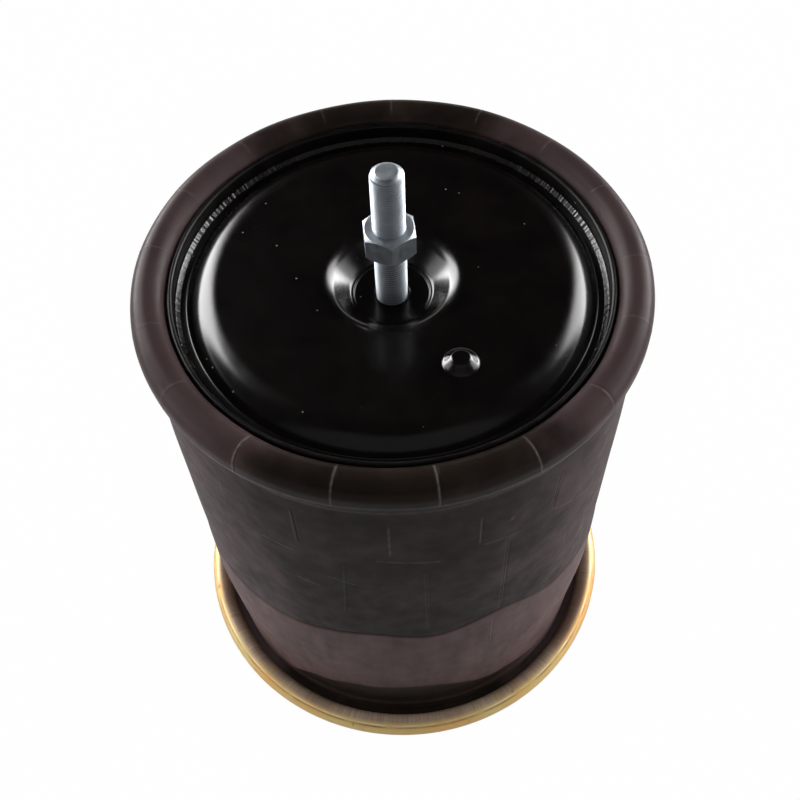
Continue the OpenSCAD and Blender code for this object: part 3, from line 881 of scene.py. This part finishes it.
# %% Wrap lines, scuffs and the blister
def line_marks(angles, r, z, rows_out):
    """Height in mm and chalk of all wrap lines at each point of the outer face."""
    height = np.zeros_like(r)
    chalk = np.zeros_like(r)
    on_lobe = rows_out >= SLEEVE_ROWS
    for top_az, foot_az, top, foot, strength in LINES:
        along = np.clip((top - z) / (top - foot), 0, 1)
        middle = np.radians(top_az + (foot_az - top_az) * along)
        off = angle_from(angles, middle) * r
        ends = np.clip((top - z) / 2, 0, 1) * np.clip((z - foot) / 2, 0, 1)
        if top > LOBE_Z:
            ends = np.where(on_lobe, 1.0, ends) * np.clip((r - 112.5) / 3, 0, 1)
        else:
            ends = ends * ~on_lobe
        size = abs(strength)
        height += ends * size * (RIDGE * bell(off, 0.8) - GROOVE * bell(off - 0.95, 0.8))
        broken = 0.7 + 0.3 * np.sin(z * 0.9 + 3 * top_az) * np.sin(r * 1.7 + top_az)
        if strength > 0:
            chalk += ends * broken * size * PALE_CHALK * bell(off, 0.85)
        else:
            chalk += ends * broken * size * DARK_CHALK * bell(off + 0.9, 0.8)
    return height, chalk


def small_marks(angles, r, z):
    """Height in mm and chalk of the scuffs and the blister."""
    height = np.zeros_like(r)
    chalk = np.zeros_like(r)
    for first, first_z, last, last_z, strength in SCUFFS:
        x = angle_from(angles, math.radians(first)) * r
        y = z - first_z
        along = np.array((math.radians(last - first) * SLEEVE_R, last_z - first_z))
        share = np.clip((x * along[0] + y * along[1]) / (along @ along), 0, 1)
        off = np.hypot(x - share * along[0], y - share * along[1])
        broken = 0.75 + 0.25 * np.sin(share * 17 + first)
        height += strength * SCUFF_H * bell(off, 1.1)
        chalk += strength * PALE_CHALK * bell(off, 1.0) * broken
    off = np.hypot(angle_from(angles, math.radians(BLISTER[0])) * r, z - BLISTER[1])
    height += BLISTER[2] * bell(off, 2.6)
    chalk += 0.3 * bell(off, 2.0)
    return height, chalk


# %% Skin of the bellows
# the rows at the middle two heights follow the ply edges, and those at the outer two stay
ROW_ANCHORS = [CRIMP_TOP, 32, 124, 183]
FOLD_Z = 268.0
FOLD_H = 12.0
SKIN_INSET = 0.25


def skin_rows_along_plies(angles):
    """The skin's outline for each column, its rows shifted to follow the two ply edges."""
    upper = wave(UPPER_PLY, angles)
    lower = wave(LOWER_PLY, angles)
    r = np.repeat(SKIN[:, :1], len(angles), 1)
    z = np.repeat(SKIN[:, 1:], len(angles), 1)
    line = SKIN[:SLEEVE_ROWS]
    for j in range(len(angles)):
        heights = [ROW_ANCHORS[0], lower[j], upper[j], ROW_ANCHORS[-1]]
        new_z = np.interp(line[:, 1], ROW_ANCHORS, heights)
        z[:SLEEVE_ROWS, j] = np.where(line[:, 1] < ROW_ANCHORS[-1], new_z, line[:, 1])
        r[:SLEEVE_ROWS, j] = np.interp(z[:SLEEVE_ROWS, j], line[:, 1], line[:, 0])
    return r, z, upper, lower


def below(edge, z):
    """1 below a ply edge and 0 above it, fading out at the crimp."""
    return np.clip((edge - z) / 1.2 + 0.5, 0, 1) * np.clip((z - 13) / 6, 0, 1)


def turned_skin(angles, r, z, lift, values):
    """The skin from its rows and columns, each point moved out by lift mm."""
    out = outline_normals(SKIN)
    r = r + lift * out[:, :1]
    z = z + lift * out[:, 1:]
    numbers = np.arange(r.size).reshape(r.shape)
    co = np.stack([r * np.cos(angles), r * np.sin(angles), z], -1).reshape(-1, 3)
    values = {key: np.clip(table, 0, 1).astype(np.float32).ravel()
              for key, table in values.items()}
    return new_piece("bellows_skin", co, turn_faces(numbers), FINISH["bellows_rubber"], values)


def make_skin():
    """Sleeve and lobe as one skin, with its ply edges, wrap lines, chalk and bloom."""
    angles = crowded_columns(240)
    r, z, upper, lower = skin_rows_along_plies(angles)
    rows_out = np.arange(len(SKIN))[:, None]
    outside = rows_out < OUTER_ROWS
    height, chalk = line_marks(angles, r, z, rows_out)
    small_height, small_chalk = small_marks(angles, r, z)
    height = height + small_height
    chalk = chalk + small_chalk
    below_upper = below(upper, z)
    below_lower = below(lower, z)
    sway = 0.12 * np.sin(5 * angles + z / 19) + 0.09 * np.sin(13 * angles - z / 11)
    grooves = 0.25 * bell(z - upper - 1.1, 1.6) + 0.2 * bell(z - lower - 1.1, 1.6)
    height = height + 0.4 * below_upper - 0.35 * below_lower - grooves + sway - SKIN_INSET
    band = below_upper * (1 - below_lower)
    lift = np.where(outside, height, 0.0)
    piece = turned_skin(angles, r, z, lift, {"chalk": np.where(outside, chalk, 0.0),
                                             "bloom": np.where(outside, band, 0.0),
                                             "fold": (z - FOLD_Z) / FOLD_H})
    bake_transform(piece)
    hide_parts("bellows_sleeve", "bellows_lobe")


make_skin()

# %% [markdown]
# ## Inner wall of the bellows
# Inside, the bellows lies on the piston's skirt down to its small bead. It is seen only when
# the spring is drawn out, as the skin that peels off the skirt, but it closes the gap
# beside the piston at rest. It is a second mesh because it moves between other bodies.

# %% Inner wall
HEAD_Z = 104.0
FOOT_Z = 290.5
PISTON_R = 110.5
POT_LINE = [(15.5, HEAD_Z, 0), (103.5, HEAD_Z, 20), (PISTON_R, 262.5, 60),
            (PISTON_R, FOOT_Z, 0)]
# the small bead: its two radii and the height of its foot
SMALL_BEAD_IN_R = 55.95
SMALL_BEAD_OUT_R = 63.75
SMALL_BEAD_Z = 93.55
SNUG = 0.05


def wall_line(r):
    """The skirt's line from radius r, up to where the lobe takes over."""
    return [(r, HEAD_Z, 0), POT_LINE[1], POT_LINE[2], (PISTON_R, LOBE_Z, 0)]


def make_inner_wall():
    """The bellows' inner wall with its bead, on the piston's skirt."""
    near = rounded(moved(wall_line(SMALL_BEAD_IN_R), -SNUG), 1.5)
    far = rounded(moved(wall_line(SMALL_BEAD_OUT_R), -SNUG - WALL), 1.5)
    near[-1] = np.array((LOBE_MID_R - LOBE_R, LOBE_Z))
    far[-1] = np.array((LOBE_MID_R - LOBE_R + WALL, LOBE_Z))
    bead = rounded([near[0].tolist() + [0], (SMALL_BEAD_IN_R, SMALL_BEAD_Z, BEAD_CORNER),
                    (SMALL_BEAD_OUT_R, SMALL_BEAD_Z, BEAD_CORNER), far[0].tolist() + [0]], 0.8)
    outline = filled_in(bead[1:-1] + far + near[::-1], 4)
    piece = turned_piece("bellows_inner_skin", outline, 240, FINISH["bellows_rubber"])
    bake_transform(piece)
    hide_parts("bellows_inner_wall")


make_inner_wall()

# %% [markdown]
# ## Piston pot, foot disc and weld
# The piston is a drawn pot, and a pressed disc closes its open end, which is its foot. The
# disc has a channel round its edge, a broad plateau, and a dished recess for the stud, all
# pressed in one stroke, with a small locating pip beside the stud. A rough bead of weld
# joins it to the skirt. Black paint covers all of it, thick enough to round every edge.

# %% Piston pot
POT_T = 3.0
RIM_ROUND = 1.45
RIM_H = 8.5


def make_pot():
    """The drawn pot: head, tapered skirt and rounded rim."""
    outside = POT_LINE[:3] + [(PISTON_R, FOOT_Z, RIM_ROUND)]
    inside = moved(POT_LINE, POT_T)
    rim_inside = (PISTON_R - POT_T, FOOT_Z, RIM_ROUND)
    corners = outside + [rim_inside, inside[2], inside[1], inside[0]]
    outline = filled_in(rounded(corners, 0.6, closed=True), 8)
    angles = even_columns(360)
    rim = np.clip((outline[:, 1:] - (FOOT_Z - RIM_H)) / 6, 0, 1)
    waves = 0.08 * np.sin(7 * angles + 1) + 0.05 * np.sin(31 * angles) - 0.13
    piece = turned_piece("piston_pot_painted", outline, angles, FINISH["thin_paint"],
                         waves * rim)
    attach(piece, "piston")
    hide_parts("piston_pot")


make_pot()

# %% Foot disc
DISC_T = 3.0
DISC_R = 107.45
DISC_HOLE_R = 8.5
CHANNEL_Z = 281.0
PLATEAU_Z = 289.0
LEDGE_Z = 278.0
SUNK_Z = 277.0
SUNK_R = 19.0
DISC_LINE = [
    (DISC_HOLE_R, LEDGE_Z, 0), (20.5, LEDGE_Z, 2), (31.5, PLATEAU_Z, 11),
    (93.5, PLATEAU_Z, 20), (101.5, CHANNEL_Z, 2), (DISC_R, CHANNEL_Z, 0),
]
SUNK_FLOOR = [(DISC_HOLE_R, SUNK_Z, 0), (SUNK_R - 0.2, SUNK_Z, 0.5),
              (SUNK_R + 0.3, LEDGE_Z, 0.3)]
PIP_X = 62.8
PIP_R = 8.5
PIP_TOP_R = 4.5
PIP_H = 4.0
# how far from the pip, in mm and then in degrees, the rows and columns stay close
PIP_SPAN = 11.0
PIP_TURN = 11


def ramp(t, ease):
    """0 below t = 0 and t above it, with the corner between them eased over."""
    return np.where(t > ease, t, np.clip(t + ease, 0, 2 * ease) ** 2 / (4 * ease))


def pip_height(x, y):
    """How far the pressed pip stands up at a point of the plateau: a cone with a flat top."""
    up = (PIP_R - np.hypot(x - PIP_X, y)) / (PIP_R - PIP_TOP_R)
    return PIP_H * (ramp(up, 0.16) - ramp(up - 1, 0.16))


def disc_rows():
    """The disc's upper face, with close rows where the pip rises."""
    line = rounded(SUNK_FLOOR + DISC_LINE[1:], 0.4)
    inside = [p for p in line if p[0] < PIP_X] + [np.array((PIP_X - PIP_SPAN, PLATEAU_Z))]
    outside = [np.array((PIP_X + PIP_SPAN, PLATEAU_Z))] + [p for p in line if p[0] > PIP_X]
    across = filled_in([inside[-1], outside[0]], 0.45, closed=False)[1:-1]
    return (list(filled_in(inside, 1.2, closed=False)) + list(across)
            + list(filled_in(outside, 1.2, closed=False)))


def make_foot_disc():
    """The pressed foot disc; the pip rises in both faces of the sheet."""
    under = rounded(moved(DISC_LINE, -DISC_T), 0.8)
    outline = np.array(list(filled_in(under, 1.5, closed=False)) + disc_rows()[::-1])
    fine = np.radians(np.arange(-PIP_TURN, PIP_TURN, 0.4))
    angles = np.unique(np.round(np.concatenate([even_columns(360), fine % (2 * math.pi)]), 5))
    piece = turned_piece("foot_disc_painted", outline, angles, FINISH["black_paint"])
    co = np.zeros(len(piece.data.vertices) * 3)
    piece.data.vertices.foreach_get("co", co)
    co = co.reshape(-1, 3) / MM
    co[:, 2] += pip_height(co[:, 0], co[:, 1])
    piece.data.vertices.foreach_set("co", (co * MM).ravel())
    piece.data.update()
    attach(piece, "piston")
    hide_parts("foot_disc")


make_foot_disc()


# %% Weld round the foot
# the weld fills the corner of the channel, and many waves added together make it uneven
WELD_R = 107.4
WELD_LEG = 3.0
WELD_INSET = 0.35
WAVES = 26


def unevenness(angles, low, high, seed):
    """An uneven curve round the axis, made of waves between low and high to the turn."""
    dice = np.random.default_rng(seed)
    counts = dice.integers(low, high, WAVES)
    starts = dice.uniform(0, 2 * math.pi, WAVES)
    return np.sin(counts[:, None] * angles + starts[:, None]).sum(0) / math.sqrt(WAVES)


def make_foot_weld():
    """A thin weld bead between disc and skirt: small uneven puddles under thick paint."""
    half_leg = WELD_LEG / 2
    corners = [(WELD_R, CHANNEL_Z, 0), (WELD_R, CHANNEL_Z + WELD_LEG, 0.4),
               (WELD_R - half_leg, CHANNEL_Z + half_leg, 1.8),
               (WELD_R - WELD_LEG + SNUG, CHANNEL_Z, 0.3)]
    outline = filled_in(rounded(corners, 0.3, closed=True), 0.45)
    angles = even_columns(1800)
    puddles = 0.03 * np.sin(170 * angles + 2.5 * np.sin(5 * angles) + 3 * np.sin(11 * angles))
    waves = 0.06 * unevenness(angles, 40, 420, 3)
    free = (outline[:, :1] < WELD_R - 0.2) * (outline[:, 1:] > CHANNEL_Z + 0.2)
    piece = turned_piece("foot_weld_painted", outline, angles, FINISH["weld_paint"],
                         free * (puddles + waves - WELD_INSET))
    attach(piece, "piston")
    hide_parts("foot_weld_bead")


make_foot_weld()

# %% [markdown]
# ## Stud and nut
# The stud is M16 with a fine rolled thread, pitch 1.5 mm. A thread is a ramp wound round a
# bar: at each angle the same tooth outline starts a little higher. So its radius is read
# from a tooth shape at height / pitch - angle / full turn, which gives a right-hand thread.

# %% Stud
STUD_R = 8.0
STUD_TOP = 358.7
STUD_FOOT = 122.55
BOSS_TOP = 139.5
PITCH = 1.5
THREAD_DEPTH = 0.92
THREAD_FROM = 262.0
CHAMFER = 2.7
CHAMFER_H = 2.0
# the painted shade in the grooves is faintest above this height, and darkens over the 30 mm below
# it
GROOVE_SHADE_Z = 335.0


def thread_cut(z, angles, pitch, depth):
    """How deep the groove is at a height and an angle: flat crest, sloping flanks."""
    share = (z / pitch - angles / (2 * math.pi)) % 1.0
    tooth = np.abs(share * 2 - 1)
    return depth * np.clip((tooth - 0.12) / 0.76, 0, 1)


def make_stud():
    """The stud with its thread and chamfered end."""
    rows = np.arange(THREAD_FROM, STUD_TOP - 0.05, PITCH / 12)
    side = [(STUD_R - SNUG, STUD_FOOT), (STUD_R - SNUG, BOSS_TOP), (STUD_R, BOSS_TOP + 0.1),
            (STUD_R, 200)]
    side += [(STUD_R, z) for z in rows]
    cap = [(5.3, STUD_TOP), (5.0, STUD_TOP), (2.5, STUD_TOP - 0.02), (0, STUD_TOP - 0.02)]
    outline = np.array([(0, STUD_FOOT), (4, STUD_FOOT)] + side + cap)
    angles = even_columns(72)
    z = outline[:, 1:]
    on_side = outline[:, :1] > STUD_R - 1
    on_thread = on_side * np.clip((z - THREAD_FROM) / PITCH, 0, 1)
    cut = thread_cut(z, angles, PITCH, THREAD_DEPTH) * on_thread
    near_top = np.clip((z - (STUD_TOP - CHAMFER_H)) / CHAMFER_H, 0, 1)
    chamfer = near_top * CHAMFER * on_side
    # painted shade in the grooves of the thread, darker towards the foot
    groove_shade = cut / THREAD_DEPTH * np.clip((GROOVE_SHADE_Z - z) / 30, 0.3, 1)
    piece = turned_piece("stud_threaded", outline, angles, FINISH["bright_zinc"],
                         -np.maximum(cut, chamfer), values={"groove": groove_shade})
    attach(piece, "piston")
    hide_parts("stud")


make_stud()

# %% [markdown]
# ## Threads in the bead plate
# Seen from below, the plate has three tapped holes: two closed nuts that are welded inside it,
# and the bush of the air port. Each is turned from its own outline, and the rows of its bore
# are pushed back by the same thread as on the stud.

# %% Tapped pieces
# each bore's core radius and height, and its thread's pitch and depth
M12_BORE = {"core_r": 5.15, "top": 20.5, "pitch": 1.75, "depth": 0.85}
M22_BORE = {"core_r": 10.2, "top": 18.5, "pitch": 1.5, "depth": 0.75}
LEAD_IN = 1.2


def tapped_piece(name, outside, centre, node, core_r, top, pitch, depth):
    """A turned piece whose bore, open at z = 0 and as high as top, carries a thread.
    outside is its line from the foot of the bore round to the top of the bore."""
    steps = np.arange(top - 0.02, 0.0, -pitch / 10)
    bore = [(core_r, z) for z in steps] + [(core_r, 0.0)]
    outline = np.array([tuple(p) for p in outside] + bore)
    angles = even_columns(72)
    z = outline[:, 1:]
    in_bore = np.arange(len(outline))[:, None] >= len(outside)
    lead_in = np.clip(LEAD_IN - z, 0, LEAD_IN) * 0.9
    cut = np.maximum(thread_cut(z, -angles, pitch, depth), np.minimum(lead_in, depth))
    piece = turned_piece(name, outline, angles, FINISH["plain_steel"], -cut * in_bore, centre)
    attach(piece, "plate_end")
    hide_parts(node)


def make_blind_nuts():
    """The two closed M12 nuts with their welding flanges."""
    line = [(5.15, 0, 0), (8, 0, 0.3), (8, 2.5, 0.2), (13, 2.5, 0.8), (13, 5.5, 0.8),
            (10, 5.5, 0.8), (10, 24.5, 4), (0, 24.5, 0)]
    outside = list(filled_in(rounded(line, 0.5), 3, closed=False))
    outside = outside[1:] + [np.array((0, 20.5)), np.array((4.0, 20.5))]
    for side, name in ((1, "left"), (-1, "right")):
        tapped_piece("blind_nut_threaded_" + name, outside, (0, side * BLIND_NUT_Y),
                     "blind_nut_" + name, **M12_BORE)


def make_air_port():
    """The M22 bush of the air port."""
    line = [(10.2, 0, 0), (13.5, 0, 0.3), (13.5, 2.5, 0.2), (16, 2.5, 0.3), (16, 18.5, 1),
            (10.2, 18.5, 0)]
    outside = list(filled_in(rounded(line, 0.4), 3, closed=False))[1:]
    tapped_piece("air_port_threaded", outside, (PORT_X, 0), "air_port", **M22_BORE)


make_blind_nuts()
make_air_port()

# %% [markdown]
# ## Bump stop
# A rubber buffer hangs under the piston's head for the moment when the spring has no air. The
# parts of its mould meet at two heights, and each leaves a fine line of flash all round.

# %% Bump stop
# flash lines: the height of each, and how far it stands out
FLASH = ((42, 0.25), (93.5, 0.15))
STOP_INSET = 0.45
STOP_LINE = [
    (17, 3, 1.5), (38, 3, 6), (46, 27, 6), (46, 57.5, 6), (40, 67.5, 6), (40, 75.5, 6),
    (46, 85.5, 6), (46, 101.5, 2), (18, 101.5, 0), (18, 98.5, 0), (5.5, 98.5, 0), (5.5, 85.5, 0),
    (17, 85.5, 1),
]


def make_bump_stop():
    """The moulded bump stop, with its flash lines and the bore for washer and bolt."""
    outline = filled_in(rounded(STOP_LINE, 0.7, closed=True), 1.2)
    angles = even_columns(180)
    side = outline[:, :1] > 30
    flash = sum(out * bell(outline[:, 1:] - z, 0.9) for z, out in FLASH)
    sway = 0.12 * np.sin(3 * angles + 0.7) + 0.08 * np.sin(8 * angles)
    piece = turned_piece("bump_stop_moulded", outline, angles, FINISH["bump_rubber"],
                         side * (flash + sway - STOP_INSET))
    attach(piece, "piston")
    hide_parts("bump_stop")


make_bump_stop()

# %% Finishes of the CAD nodes
# the replaced nodes take theirs too, so that no node is left without one
NODE_FINISHES = {
    "yellow_zinc": ["bead_plate", "end_closure"],
    "bright_zinc": ["stud", "hex_nut", "bump_washer", "bump_bolt"],
    "plain_steel": ["blind_nut_left", "blind_nut_right", "air_port", "port_weld",
                    "plate_bead_hoop", "piston_bead_hoop", "support_tube", "closure_boss",
                    "boss_weld"],
    "black_paint": ["piston_pot", "foot_disc", "foot_weld_bead"],
    "bellows_rubber": ["bellows_sleeve", "bellows_lobe", "bellows_inner_wall"],
    "bump_rubber": ["bump_stop"],
}


def soften(node, width):
    """Round a CAD node's edges a little, by modifiers only."""
    weld = node.modifiers.new("weld", "WELD")
    weld.merge_threshold = 0.001 * MM
    bevel = node.modifiers.new("edges", "BEVEL")
    bevel.width = width * MM
    bevel.segments = 3
    bevel.limit_method = "ANGLE"
    bevel.angle_limit = math.radians(28)
    bevel.harden_normals = True


for finish, names in NODE_FINISHES.items():
    for name in names:
        NODES[name].data.materials.clear()
        NODES[name].data.materials.append(FINISH[finish])
    print(finish, "on", ", ".join(names))
soften(NODES["hex_nut"], 0.35)
